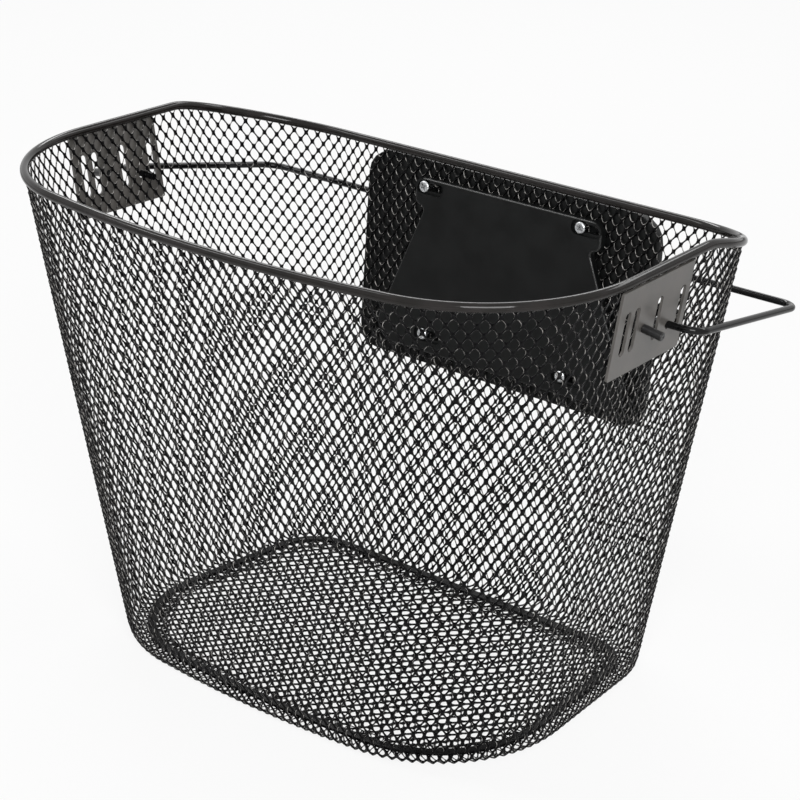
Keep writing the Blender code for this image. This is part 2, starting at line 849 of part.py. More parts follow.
def main():
    clear_scene()
    paint = make_material("black paint", (0.012, 0.012, 0.012), 0.28)
    plastic = make_material("black plastic", (0.016, 0.017, 0.017), 0.45)
    zinc = make_material("zinc plating", (0.70, 0.71, 0.72), 0.30, 1.0)
    make_wall(paint)
    make_floor(paint)
    make_rim(paint)
    make_side_plates(paint)
    make_pegs(paint)
    make_handle(paint)
    make_clamp_plate(plastic)
    make_carrier_plate(plastic)
    make_screws(zinc)
    make_nuts(zinc)


main()
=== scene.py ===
import math

import bmesh
import bpy
from mathutils import Matrix, Vector


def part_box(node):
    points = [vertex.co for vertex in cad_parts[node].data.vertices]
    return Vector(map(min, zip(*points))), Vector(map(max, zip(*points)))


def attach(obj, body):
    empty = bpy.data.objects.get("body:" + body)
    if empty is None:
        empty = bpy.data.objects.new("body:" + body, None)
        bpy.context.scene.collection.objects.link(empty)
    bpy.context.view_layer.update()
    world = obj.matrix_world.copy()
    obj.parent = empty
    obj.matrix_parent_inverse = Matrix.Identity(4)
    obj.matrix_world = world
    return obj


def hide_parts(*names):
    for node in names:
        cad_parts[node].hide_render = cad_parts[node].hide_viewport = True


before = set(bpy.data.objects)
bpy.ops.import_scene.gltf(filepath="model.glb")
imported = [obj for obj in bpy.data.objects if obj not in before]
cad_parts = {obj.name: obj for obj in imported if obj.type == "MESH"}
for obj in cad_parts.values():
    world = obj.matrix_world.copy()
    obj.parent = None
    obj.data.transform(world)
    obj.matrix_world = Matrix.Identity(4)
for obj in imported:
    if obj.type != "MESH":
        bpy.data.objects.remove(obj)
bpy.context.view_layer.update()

MM = 0.001
merge_distance = 0.002 * MM
cut_tolerance = 0.001 * MM
match_distance = 0.01 * MM
# Rounded slot ends stop a hair short of a half circle, so that no two of their points meet
round_end_share = 0.999

# The basket's own sizes in metres, with the part's source's names and values
rim_width = 0.380
rim_depth = 0.2457
rim_front_radius = 0.0883
rim_rear_radius = 0.0648
rim_side_turn = math.radians(2.37)
foot_width = 0.2860
foot_depth = 0.1959
foot_rear_in = 0.0219
foot_front_radius = 0.0775
foot_rear_radius = 0.0407
foot_side_turn = math.radians(5.6)
face_radius = 0.718
rim_height = 0.2713
rear_dip = 0.0217
dip_length = 0.0779
dip_blend = 0.010
rim_wire_radius = 2.5 * MM
sheet_thickness = 1.2 * MM
curl_radius = 6 * MM
floor_edge_in = 4.5 * MM
floor_edge_width = 5 * MM
floor_edge_thickness = 1.6 * MM
pivot_from_rear = 0.1077
pivot_drop = 0.0330
handle_radius = 1.9 * MM
foot_reach_in = 9 * MM
arm_stand_off = 21 * MM
arm_draw_in = 15 * MM
foot_bend_radius = 8 * MM
corner_bend_radius = 12 * MM
seat_gap = 0.3 * MM
swing_gap = 1.0 * MM
plate_length = 62.5 * MM
plate_height = 47.2 * MM
plate_thickness = 1.5 * MM
plate_rear_overhang = 14.5 * MM
twist_room = 0.2 * MM
slot_width = 4.6 * MM
slot_height = 24 * MM
slot_places = (-40 * MM, -32 * MM, -11.8 * MM, 8.5 * MM)
peg_radius = 2.3 * MM
peg_length = 11.2 * MM
peg_ahead = 23.6 * MM
peg_rise = 5.8 * MM
clamp_top_drop = 9.5 * MM
clamp_shift = 4 * MM
clamp_ear_half_width = 66.5 * MM
clamp_ear_height = 17 * MM
clamp_neck_half_width = 59 * MM
clamp_foot_half_width = 95.5 * MM
clamp_foot_margin = 10.9 * MM
clamp_thickness = 4.2 * MM
screw_slot_length = 17 * MM
screw_slot_width = 4.8 * MM
recess_width = 8.6 * MM
recess_depth = 1.6 * MM
carrier_thickness = 6 * MM
receiver_depth = 16 * MM
receiver_top_drop = 32.7 * MM

# Sizes that are the look's own: the lip is wider than the source's and the clamp plate's edge rounder,
# the side plates reach up behind the rim, and the carrier plate has a crest
lip_width = 0.016
plate_top_in = 0.5 * MM
clamp_edge_round = 1.1 * MM
carrier_crest_from = -4 * MM
carrier_crest_half_width = 91 * MM
carrier_crest_rise = 1.7 * MM

# Real pitch of the expanded metal: diamonds 7.4 mm wide and 10 mm tall at the rim and on the floor
cell_columns = 150
cell_width = 7.4 * MM
cell_height = 10 * MM
strand_width = 0.56 * MM
strand_thickness = 0.42 * MM
strand_lean = 0.60 * MM
cell_corner_share = 0.62
cell_corner_angle = math.radians(150)
smallest_cell_area = 6 * MM * MM
# The middle of no strand lies lower than this, so that the lip stays within 0.1 mm of the standing level
lowest_strand = 0.27 * MM
floor_outline_points = 96
floor_edge_round = 0.3 * MM
rim_outline_points = 320

# Places that follow from the sizes
curl_top_z = sheet_thickness / 2 + curl_radius
wall_top_drop = rim_wire_radius + seat_gap
rear_top_z = rim_height - rear_dip - wall_top_drop
rear_lean = math.atan2(foot_rear_in, rear_top_z - curl_top_z)
carrier_back_out_y = sheet_thickness / 2 + seat_gap + carrier_thickness
clamp_back_out_y = -(sheet_thickness / 2 + seat_gap)
receiver_back_out_y = carrier_back_out_y + receiver_depth
back_reach = receiver_back_out_y * math.cos(rear_lean) - receiver_top_drop * math.sin(rear_lean)
rear_y = (rim_depth + rim_wire_radius - back_reach) / 2
front_y = rear_y - rim_depth
foot_rear_y = rear_y - foot_rear_in
foot_front_y = foot_rear_y - foot_depth
pivot_y = rear_y - pivot_from_rear
pivot_z = rim_height - pivot_drop
rear_wall = Matrix.Translation((0, rear_y, rear_top_z)) @ Matrix.Rotation(-rear_lean, 4, "X")


def mix(first, second, share):
    return first + (second - first) * share


# Materials

def paint_colour(code):
    """An sRGB hex colour as linear values."""
    values = [int(code[place:place + 2], 16) / 255 for place in (1, 3, 5)]
    return tuple(v / 12.92 if v <= 0.04045 else ((v + 0.055) / 1.055) ** 2.4 for v in values) + (1.0,)


def add_node(owner, kind, settings=(), inputs=(), links=()):
    """Add a node, set its settings and inputs, and link (output socket, own input) pairs."""
    node = owner.node_tree.nodes.new("ShaderNode" + kind)
    for key, value in dict(settings).items():
        setattr(node, key, value)
    for key, value in dict(inputs).items():
        node.inputs[key].default_value = value
    for socket, key in links:
        owner.node_tree.links.new(socket, node.inputs[key])
    return node


def finish(name, **sockets):
    """A material with only its shader set; the pattern nodes are added by its own function."""
    material = bpy.data.materials.new(name)
    material.use_nodes = True
    shader = material.node_tree.nodes["Principled BSDF"]
    for key, value in sockets.items():
        shader.inputs[key.replace("_", " ")].default_value = value
    return material, shader


def speckled(
    material, shader, first, second, grain_mm, depth_mm, rough_low, rough_high, patch_mm=14, patch_range=(0.38, 0.62),
):
    """Give a finish its fine bumps, and slow changes of colour and gloss over the piece; on the strands' cut edges
    the lighter patches are painted highlight strokes.
    """
    links = material.node_tree.links
    place = add_node(material, "TexCoord").outputs["Object"]
    grain = add_node(
        material, "TexNoise", inputs={"Scale": 1 / (grain_mm * MM), "Detail": 3.0}, links=[(place, "Vector")],
    )
    patch = add_node(
        material, "TexNoise", inputs={"Scale": 1 / (patch_mm * MM), "Detail": 4.0}, links=[(place, "Vector")],
    )
    spread = add_node(
        material, "MapRange", inputs={"From Min": patch_range[0], "From Max": patch_range[1]},
        links=[(patch.outputs["Fac"], "Value")],
    )
    tone = add_node(
        material, "Mix", settings={"data_type": "RGBA"},
        inputs={6: paint_colour(first), 7: paint_colour(second)}, links=[(spread.outputs["Result"], 0)],
    )
    gloss = add_node(
        material, "MapRange", inputs={"To Min": rough_low, "To Max": rough_high},
        links=[(spread.outputs["Result"], "Value")],
    )
    bump = add_node(
        material, "Bump", inputs={"Strength": 1.0, "Distance": depth_mm * MM},
        links=[(grain.outputs["Fac"], "Height")],
    )
    links.new(tone.outputs[2], shader.inputs["Base Color"])
    links.new(gloss.outputs["Result"], shader.inputs["Roughness"])
    links.new(bump.outputs["Normal"], shader.inputs["Normal"])
    return material


# Gloss black powder coat on the rim's wire: baked smooth, with the slight orange peel of a thick coat
wire_coat = speckled(
    *finish("gloss_black_powder_coat", IOR=1.5, Specular_IOR_Level=0.22), "#1a1816", "#242120", grain_mm=2.2,
    depth_mm=0.03, rough_low=0.05, rough_high=0.10,
)

# Stoved gloss enamel on the drawn handle wire: deeper black and smoother than the powder
handle_coat = speckled(
    *finish("deep_black_stoved_enamel", IOR=1.5, Specular_IOR_Level=0.2), "#060607", "#0c0c0d", grain_mm=3,
    depth_mm=0.02, rough_low=0.03, rough_high=0.08,
)

# Black powder coat on the expanded metal: duller than on wire, because it lies unevenly over the knuckles
mesh_coat = speckled(
    *finish("black_coat_on_expanded_metal", IOR=1.4, Specular_IOR_Level=0.15), "#050506", "#0b0b0c", grain_mm=1.4,
    depth_mm=0.06, rough_low=0.18, rough_high=0.28,
)

# Cut edges of the strands: a dark coat with light grey patches painted on as highlight strokes, the glints of light
# along the edges
edge_coat_with_painted_glints = speckled(
    *finish("cut_edge_coat_with_painted_glints", IOR=1.45), "#1a1918", "#b4b1ad", grain_mm=1.4, depth_mm=0.04,
    rough_low=0.22, rough_high=0.34, patch_mm=2.6, patch_range=(0.45, 0.62),
)

# Satin coat on the pressed side plates: the grey sheen of the light reflected off its smooth flat sheet is painted
# into its colour, so it shows lighter than the wire and the mesh around it
plate_coat_painted_sheen = speckled(
    *finish("black_sheet_with_painted_grey_sheen", IOR=1.6), "#4d4b48", "#595653", grain_mm=0.9, depth_mm=0.02,
    rough_low=0.30, rough_high=0.38,
)

# Satin black coat on the turned pegs: darker than the plates that carry them
peg_coat = speckled(
    *finish("satin_black_coat_on_pegs", IOR=1.5), "#121212", "#1b1b1c", grain_mm=0.9, depth_mm=0.02,
    rough_low=0.28, rough_high=0.36,
)

# Moulded polypropylene: the mould's fine spark-eroded grain keeps its broad faces dark and dull. The real grain
# is some 0.1 mm, too fine to show, so it is drawn at 0.55 mm, about a pixel of the main view
moulded_plastic = speckled(
    *finish("black_moulded_polypropylene", IOR=1.49, Specular_IOR_Level=0.2), "#0b0c0c", "#111212", grain_mm=0.55,
    depth_mm=0.03, rough_low=0.34, rough_high=0.44,
)

# The same plastic on the clamp plate's rounded edge: that radius is polished in the mould, so it shines, and its
# lighter colour is a painted highlight along the edge
polished_plastic_with_painted_highlight = speckled(
    *finish("black_polypropylene_polished_radius_painted_highlight", IOR=1.49), "#161717", "#1d1e1e", grain_mm=1.5, depth_mm=0.01,
    rough_low=0.16, rough_high=0.24,
)

# Bright zinc plate on steel screws and nuts: bluish, with the faint mottle of the bath
zinc_plate = speckled(
    *finish("bright_zinc_plate", Metallic=1.0), "#c8cacc", "#e2e4e6", grain_mm=0.8, depth_mm=0.01,
    rough_low=0.18, rough_high=0.30, patch_mm=3,
)


# Making pieces

def piece(name, bm, material, body="basket", smooth=35):
    """Turn a bmesh into a piece that rides on a body, with sharp edges above an angle."""
    mesh = bpy.data.meshes.new(name)
    bm.to_mesh(mesh)
    bm.free()
    item = bpy.data.objects.new(name, mesh)
    bpy.context.collection.objects.link(item)
    mesh.materials.append(material)
    mesh.shade_smooth()
    mesh.set_sharp_from_angle(angle=math.radians(smooth))
    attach(item, body)
    return item


def thicken(item, thickness, edge):
    """Give a sheet its thickness, with the material of its cut edges, which carries their painted highlight strokes.
    """
    item.data.materials.append(edge)
    wall = item.modifiers.new("sheet", "SOLIDIFY")
    wall.thickness = thickness
    wall.material_offset_rim = 1
    wall.offset = 0
    wall.use_even_offset = True


def even_shading(item):
    """Let the broad flat faces set the shading beside their rounded edges."""
    shading = item.modifiers.new("shading", "WEIGHTED_NORMAL")
    shading.keep_sharp = True


def soft_edges(bm, width, angle=30, segments=2):
    """Round every edge of a solid that turns by more than an angle."""
    edges = [e for e in bm.edges if len(e.link_faces) == 2 and e.calc_face_angle() > math.radians(angle)]
    bmesh.ops.bevel(
        bm, geom=edges, offset=width, offset_type="OFFSET", segments=segments, profile=0.5,
        affect="EDGES", clamp_overlap=True, material=-1,
    )


def pierced(outline, holes, along):
    """A flat sheet with holes: all its loops filled at once, then pushed along a vector."""
    bm = bmesh.new()
    for loop in [outline] + holes:
        verts = [bm.verts.new(point) for point in loop]
        for pair in zip(verts, verts[1:] + verts[:1]):
            bm.edges.new(pair)
    bmesh.ops.triangle_fill(bm, use_beauty=True, use_dissolve=False, edges=bm.edges[:], normal=along.normalized())
    if along.length:
        grown = bmesh.ops.extrude_face_region(bm, geom=bm.faces[:])
        bmesh.ops.translate(bm, vec=along, verts=[v for v in grown["geom"] if isinstance(v, bmesh.types.BMVert)])
    bmesh.ops.recalc_face_normals(bm, faces=bm.faces)
    return bm


def turned(profile, place, axis, steps=48):
    """Spin (radius, distance) pairs about an axis through a place."""
    bm = bmesh.new()
    verts = [bm.verts.new((radius, 0, distance)) for radius, distance in profile]
    edges = [bm.edges.new(pair) for pair in zip(verts, verts[1:])]
    bmesh.ops.spin(
        bm, geom=verts + edges, cent=(0, 0, 0), axis=(0, 0, 1), dvec=(0, 0, 0), angle=math.tau,
        steps=steps, use_merge=True,
    )
    bmesh.ops.remove_doubles(bm, verts=bm.verts, dist=merge_distance)
    bmesh.ops.recalc_face_normals(bm, faces=bm.faces)
    lie = Vector((0, 0, 1)).rotation_difference(axis).to_matrix().to_4x4()
    bmesh.ops.transform(bm, matrix=Matrix.Translation(place) @ lie, verts=bm.verts)
    return bm


def mirrored(bm):
    """The same shape for the basket's other side."""
    other = bm.copy()
    bmesh.ops.scale(other, vec=(-1, 1, 1), verts=other.verts)
    bmesh.ops.reverse_faces(other, faces=other.faces)
    return other


def fillet(points, radii, step, closed=True):
    """Replace each corner of a path by an arc of its radius, with a point for each step in degrees."""
    path = []
    count = len(points)
    for index, (point, radius) in enumerate(zip(points, radii)):
        if not radius or (not closed and index in (0, count - 1)):
            path.append(point.copy())
            continue
        back = (points[index - 1] - point).normalized()
        ahead = (points[(index + 1) % count] - point).normalized()
        opening = back.angle(ahead)
        centre = point + (back + ahead).normalized() * radius / math.sin(opening / 2)
        run = radius / math.tan(opening / 2)
        first, last = point + back * run - centre, point + ahead * run - centre
        turn = first.angle(last)
        steps = max(2, round(math.degrees(turn) / step))
        for number in range(steps + 1):
            share = number / steps
            arm = first * math.sin((1 - share) * turn) + last * math.sin(share * turn)
            path.append(centre + arm / math.sin(turn))
    return path


# The wire's cut ends: found by their turn, and rounded by a share of the wire's radius
cut_end_angle = math.radians(60)
cut_end_round_share = 0.3


def wire(name, points, radius, material, body, closed=False):
    """Round wire along a path, made a mesh with its place applied."""
    curve = bpy.data.curves.new(name, "CURVE")
    curve.dimensions = "3D"
    curve.bevel_depth = radius
    curve.bevel_resolution = 8
    curve.use_fill_caps = not closed
    spline = curve.splines.new("POLY")
    spline.points.add(len(points) - 1)
    for target, point in zip(spline.points, points):
        target.co = (*point, 1)
    spline.use_cyclic_u = closed
    draft = bpy.data.objects.new(name + "_draft", curve)
    bpy.context.collection.objects.link(draft)
    bpy.context.view_layer.update()
    bm = bmesh.new()
    bm.from_mesh(draft.evaluated_get(bpy.context.evaluated_depsgraph_get()).to_mesh())
    bpy.data.objects.remove(draft)
    bmesh.ops.remove_doubles(bm, verts=bm.verts, dist=cut_tolerance)
    if not closed:
        rims = [e for e in bm.edges if e.calc_face_angle(0) > cut_end_angle]
        bmesh.ops.bevel(
            bm, geom=rims, offset=radius * cut_end_round_share, offset_type="OFFSET", segments=3, profile=0.5,
            affect="EDGES", clamp_overlap=True, material=-1,
        )
    bmesh.ops.recalc_face_normals(bm, faces=bm.faces)
    return piece(name, bm, material, body)


# The basket's outlines, as in the part's source
plan_arc_step = math.radians(2)


def half_plan(share, inset):
    """Left half of the plan, rear middle to front middle; share runs from rim (0) to foot (1)."""
    width = mix(rim_width, foot_width, share) / 2 - inset
    front = mix(front_y, foot_front_y, share) + inset
    rear = mix(rear_y, foot_rear_y, share) - inset
    front_radius = mix(rim_front_radius, foot_front_radius, share) - inset
    rear_radius = mix(rim_rear_radius, foot_rear_radius, share) - inset
    turn = mix(rim_side_turn, foot_side_turn, share)
    face = face_radius - inset
    corner_x = width - front_radius
    corner_y = front + face - math.sqrt((face - front_radius) ** 2 - corner_x ** 2)
    along = math.cos(turn) * corner_x + math.sin(turn) * corner_y + front_radius - rear_radius
    rear_corner_y = rear - rear_radius
    rear_corner_x = (along - rear_corner_y * math.sin(turn)) / math.cos(turn)
    start = math.atan2(corner_y - front - face, corner_x)
    arcs = (
        (rear_corner_x, rear_corner_y, rear_radius, math.pi / 2, turn),
        (corner_x, corner_y, front_radius, turn, start),
        (0, front + face, face, start, -math.pi / 2),
    )
    points = [Vector((0, rear))]
    for x, y, radius, first, last in arcs:
        steps = max(2, round(abs(last - first) / plan_arc_step))
        for step in range(steps + 1):
            angle = mix(first, last, step / steps)
            points.append(Vector((x + radius * math.cos(angle), y + radius * math.sin(angle))))
    return points


def stations(points, count):
    """Whole loop of plan points, spaced evenly along it."""
    loop = points + [Vector((-p.x, p.y)) for p in reversed(points[1:-1])]
    marks = [0.0]
    for index, here in enumerate(loop):
        marks.append(marks[-1] + (loop[(index + 1) % len(loop)] - here).length)
    spots = []
    index = 0
    for number in range(count):
        place = number * marks[-1] / count
        while marks[index + 1] < place:
            index += 1
        share = (place - marks[index]) / (marks[index + 1] - marks[index])
        spots.append(loop[index].lerp(loop[(index + 1) % len(loop)], share))
    return spots


def rim_z(y):
    """Height of the rim's wire: level, then down to the rear wall."""
    run = max(0.0, y - rear_y + dip_length)
    eased = run * run / (run + dip_blend)
    return rim_height - rear_dip * eased * (dip_length + dip_blend) / dip_length ** 2


def side_wall_point(y, z):
    """Point on the middle of the left wall's sheet, on its flat stretch."""
    top = rim_z(y) - wall_top_drop
    share = (top - z) / (top - curl_top_z)
    turn = mix(rim_side_turn, foot_side_turn, share)
    width = mix(rim_width, foot_width, share) / 2
    radius = mix(rim_front_radius, foot_front_radius, share)
    front = mix(front_y, foot_front_y, share)
    corner_x = width - radius
    corner_y = front + face_radius - math.sqrt((face_radius - radius) ** 2 - corner_x ** 2)
    along = math.cos(turn) * corner_x + math.sin(turn) * corner_y + radius
    return Vector(((along - y * math.sin(turn)) / math.cos(turn), y, z))


# Expanded metal

def wall_profile(half_rows):
    """Share, inset and height of each half row of cells: down the wall, round the curl, along the lip."""
    rows = []
    straight = rim_height - curl_top_z
    curl = curl_radius * math.pi / 2
    for row in range(half_rows + 1):
        run = row * cell_height / 2
        if run <= straight:
            rows.append((run / straight, 0.0, None))
        elif run <= straight + curl:
            turn = (run - straight) / curl_radius
            rows.append((1, curl_radius * (1 - math.cos(turn)), curl_top_z - curl_radius * math.sin(turn)))
        else:
            rows.append((1, curl_radius + run - straight - curl, sheet_thickness / 2))
    return rows


def diamond_sheet(columns, rows):
    """Staggered diamonds on a unit drum: spun quads, poked, with the first edges dissolved."""
    bm = bmesh.new()
    post = [bm.verts.new((1, 0, -row)) for row in range(rows + 1)]
    edges = [bm.edges.new(pair) for pair in zip(post, post[1:])]
    bmesh.ops.spin(
        bm, geom=post + edges, cent=(0, 0, 0), axis=(0, 0, 1), dvec=(0, 0, 0), angle=-math.tau,
        steps=columns, use_merge=True,
    )
    first = bm.edges[:]
    bmesh.ops.poke(bm, faces=bm.faces[:])
    inner = [edge for edge in first if len(edge.link_faces) == 2]
    bmesh.ops.dissolve_edges(bm, edges=inner, use_verts=False)
    return bm


def lean_strands(bm, ups):
    """Give every cell its opening: rounded at the corners, and tipped so that the strands lean."""
    bmesh.ops.subdivide_edges(bm, edges=bm.edges[:], cuts=2)
    bm.normal_update()
    bmesh.ops.inset_individual(
        bm, faces=list(ups), thickness=strand_width / 2, depth=0.0, use_even_offset=True,
    )
    for face, up in ups.items():
        loop = list(face.verts)
        sharp = [place for place, vert in enumerate(loop) if is_corner(vert, loop, place)]
        spots = {place: (loop[place - 1].co + loop[(place + 1) % len(loop)].co) / 2 for place in sharp}
        for place, spot in spots.items():
            loop[place].co = loop[place].co.lerp(spot, cell_corner_share)
        middle = face.calc_center_median()
        reach = max(abs((vert.co - middle).dot(up)) for vert in loop)
        for vert in loop:
            vert.co -= face.normal * ((vert.co - middle).dot(up) / reach * strand_lean)
    bmesh.ops.delete(bm, geom=list(ups), context="FACES")


def is_corner(vert, loop, place):
    """True where the outline of a cell turns by more than 30 degrees."""
    back = loop[place - 1].co - vert.co
    ahead = loop[(place + 1) % len(loop)].co - vert.co
    return back.length > 0 and ahead.length > 0 and back.angle(ahead) < cell_corner_angle


def expanded_wall():
    """The whole wall's strands: diamonds on a drum, moved to their places on the wall, the curl and the lip."""
    rows = round((rim_height - curl_top_z + curl_radius * math.pi / 2 + lip_width) / cell_height)
    profile = wall_profile(rows * 2)
    rim_plan = stations(half_plan(0, 0), cell_columns * 2)
    rings = []
    for share, inset, level in profile:
        plan = stations(half_plan(share, inset), cell_columns * 2)
        heights = [level if level is not None else mix(rim_z(top.y), curl_top_z, share) for top in rim_plan]
        rings.append([Vector((p.x, p.y, z)) for p, z in zip(plan, heights)])
    bm = diamond_sheet(cell_columns, rows)
    spots = {}
    for vert in bm.verts:
        turn = math.atan2(vert.co.y, vert.co.x) / math.tau * cell_columns * 2
        spots[vert] = (round(turn) % (cell_columns * 2), round(-vert.co.z * 2))
    for vert, (column, row) in spots.items():
        vert.co = rings[row][column]
    ups = {}
    for face in bm.faces:
        order = sorted(face.verts, key=lambda vert: spots[vert][1])
        ups[face] = (order[0].co - order[-1].co).normalized()
    bmesh.ops.recalc_face_normals(bm, faces=bm.faces)
    lean_strands(bm, ups)
    for vert in bm.verts:
        vert.co.z = max(vert.co.z, lowest_strand)
    return bm


def floor_outline(inset):
    """Outline of the floor's flat band, or of a line at an inset from it."""
    return stations(half_plan(1, curl_radius + floor_edge_in + inset), floor_outline_points)


def floor_edge():
    """Flat band that the floor's strands are welded to, with its cut edges broken."""
    low = Vector((0, 0, sheet_thickness + seat_gap))
    outer = [point.to_3d() + low for point in floor_outline(0)]
    inner = [point.to_3d() + low for point in floor_outline(floor_edge_width)]
    band = pierced(outer, [inner], Vector((0, 0, floor_edge_thickness)))
    soft_edges(band, floor_edge_round)
    return band


def expanded_floor():
    """Flat sheet of the same metal, trimmed to the floor's outline."""
    bm = bmesh.new()
    columns = math.ceil(foot_width / cell_width)
    rows = math.ceil(foot_depth / cell_height)
    bmesh.ops.create_grid(bm, x_segments=columns, y_segments=rows, size=0.5)
    first = bm.edges[:]
    bmesh.ops.poke(bm, faces=bm.faces[:])
    bmesh.ops.dissolve_edges(bm, edges=[e for e in first if len(e.link_faces) == 2], use_verts=False)
    bmesh.ops.scale(bm, vec=(columns * cell_width, rows * cell_height, 1), verts=bm.verts)
    level = sheet_thickness + seat_gap + floor_edge_thickness / 2
    bmesh.ops.translate(bm, vec=(0, (foot_rear_y + foot_front_y) / 2, level), verts=bm.verts)
    edge = floor_outline(floor_edge_width / 2)
    for index, here in enumerate(edge):
        along = edge[(index + 1) % len(edge)] - here
        out = Vector((along.y, -along.x, 0))
        if out.dot(here.to_3d() - Vector((0, foot_rear_y - foot_depth / 2, 0))) < 0:
            out = -out
        bmesh.ops.bisect_plane(
            bm, geom=bm.verts[:] + bm.edges[:] + bm.faces[:], dist=cut_tolerance,
            plane_co=here.to_3d(), plane_no=out, clear_outer=True,
        )
    ups = {face: Vector((0, 1, 0)) for face in bm.faces if face.calc_area() > smallest_cell_area}
    slivers = [face for face in bm.faces if face not in ups]
    bmesh.ops.delete(bm, geom=slivers, context="FACES")
    bm.normal_update()
    if next(iter(ups)).normal.z < 0:
        bmesh.ops.reverse_faces(bm, faces=bm.faces)
    lean_strands(bm, ups)
    return bm


# The wall is shown as four quarters, so that none is too heavy; the front and rear ones meet at this depth
quarter_line_y = -0.01
wall = expanded_wall()
quarters = {"front_left": (1, -1), "front_right": (-1, -1), "rear_left": (1, 1), "rear_right": (-1, 1)}
for name, (side, end) in quarters.items():
    part = wall.copy()
    away = []
    for face in part.faces:
        middle = face.calc_center_median()
        if middle.x * side < 0 or (middle.y - quarter_line_y) * end < 0:
            away.append(face)
    bmesh.ops.delete(part, geom=away, context="FACES")
    sheet = piece("expanded_wall_" + name, part, mesh_coat, smooth=30)
    # The strands' cut edges take the dark coat with painted highlight strokes
    thicken(sheet, strand_thickness, edge_coat_with_painted_glints)
    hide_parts("wall_mesh")
wall.free()
floor_sheet = piece("expanded_floor", expanded_floor(), mesh_coat, smooth=30)
# The floor strands' cut edges take the same dark coat with painted highlight strokes
thicken(floor_sheet, strand_thickness, edge_coat_with_painted_glints)
floor_band = piece("flat_floor_edge", floor_edge(), mesh_coat, smooth=50)
even_shading(floor_band)
for part in (floor_sheet, floor_band):
    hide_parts("floor_mesh")

# Rim: one closed wire, butt-welded at the middle of the rear
rim_points = [Vector((p.x, p.y, rim_z(p.y))) for p in stations(half_plan(0, 0), rim_outline_points)]
rim = wire("rim_tube", rim_points, rim_wire_radius, wire_coat, "basket", closed=True)
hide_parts("rim_wire")

# Handle: feet through the side plates, arms back, and the crossbar behind the carrier plate
wall_x = side_wall_point(pivot_y, pivot_z).x
root = wall_x + arm_stand_off
crossbar_drop = receiver_top_drop - seat_gap - handle_radius
crossbar = rear_wall @ Vector((root - arm_draw_in, carrier_back_out_y + swing_gap + handle_radius, -crossbar_drop))
left = [Vector((wall_x - foot_reach_in, pivot_y, pivot_z)), Vector((root, pivot_y, pivot_z)), crossbar]
right = [Vector((-point.x, point.y, point.z)) for point in reversed(left)]
radii = (0, foot_bend_radius, corner_bend_radius, corner_bend_radius, foot_bend_radius, 0)
bail_path = fillet(left + right, radii, step=5, closed=False)
bail = wire("bent_wire_handle", bail_path, handle_radius, handle_coat, "handle")
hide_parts("handle")

# Side plates: pressed sheet, the cut edges rounded by the coat, with four plain slots
plate_corner_radius = 1.2 * MM
plate_edge_round = 0.25 * MM
peg_tenon_radius = 1.4 * MM
hole_play = 0.3 * MM
pivot_play = 0.4 * MM
hole_points = 32


def plate_axes():
    """The left plate's inner face at the pivot, and its rearward, upward and outward axes."""
    rear = pivot_y + plate_rear_overhang
    front = rear - plate_length
    top = rim_height - wall_top_drop
    middle_y, middle_z = (rear + front) / 2, top - plate_height / 2
    rearward = (side_wall_point(rear, middle_z) - side_wall_point(front, middle_z)).normalized()
    upward = side_wall_point(middle_y, top) - side_wall_point(middle_y, top - plate_height)
    outward = rearward.cross(upward).normalized()
    upward = outward.cross(rearward).normalized()
    face = side_wall_point(pivot_y, pivot_z) + outward * (sheet_thickness / 2 + seat_gap + twist_room)
    return face, rearward, upward, outward


plate_face, rearward, upward_on_plate, outward = plate_axes()


def on_plate(back, rise):
    """Point on the left plate's inner face, measured from the pivot."""
    return plate_face + rearward * back + upward_on_plate * rise


def side_plate():
    """The left side plate."""
    top = (rim_height - wall_top_drop - plate_face.z) / upward_on_plate.z
    low = top - plate_height
    top += plate_top_in
    front = plate_rear_overhang - plate_length
    rear = plate_rear_overhang
    corners = [on_plate(front, low), on_plate(rear, low), on_plate(rear, top), on_plate(front, top)]
    middle = (top + low) / 2
    holes = []
    for back in slot_places:
        ends = [
            on_plate(back + slot_width / 2 * x, middle + slot_height / 2 * z)
            for x, z in ((-1, -1), (1, -1), (1, 1), (-1, 1))
        ]
        holes.append(fillet(ends, [slot_width / 2 * round_end_share] * 4, step=15))
    turns = [math.tau * number / hole_points for number in range(hole_points)]
    for back, rise, radius in (
        (0, 0, handle_radius + pivot_play), (-peg_ahead, peg_rise, peg_tenon_radius + hole_play),
    ):
        holes.append([on_plate(back + radius * math.cos(turn), rise + radius * math.sin(turn)) for turn in turns])
    sheet = pierced(fillet(corners, [plate_corner_radius] * 4, step=15), holes, outward * plate_thickness)
    soft_edges(sheet, plate_edge_round)
    return sheet


# Pegs: turned, with a broken edge and the lathe's small centre mark in the free end
shoulder_chamfer = 0.1 * MM
end_round = 0.45 * MM
end_round_middle = 0.13 * MM
centre_radius = 0.75 * MM
centre_lip = 0.15 * MM
centre_lip_depth = 0.06 * MM
centre_depth = 0.5 * MM


def side_peg():
    """The left side peg, with its tenon in the plate."""
    shoulder = plate_thickness + seat_gap
    end = shoulder + peg_length
    profile = [
        (0, 0), (peg_tenon_radius, 0), (peg_tenon_radius, shoulder),
        (peg_radius - shoulder_chamfer, shoulder), (peg_radius, shoulder + shoulder_chamfer),
        (peg_radius, end - end_round), (peg_radius - end_round_middle, end - end_round_middle),
        (peg_radius - end_round, end), (centre_radius, end), (centre_radius - centre_lip, end - centre_lip_depth),
        (0, end - centre_depth),
    ]
    return turned(profile, on_plate(-peg_ahead, peg_rise), outward)


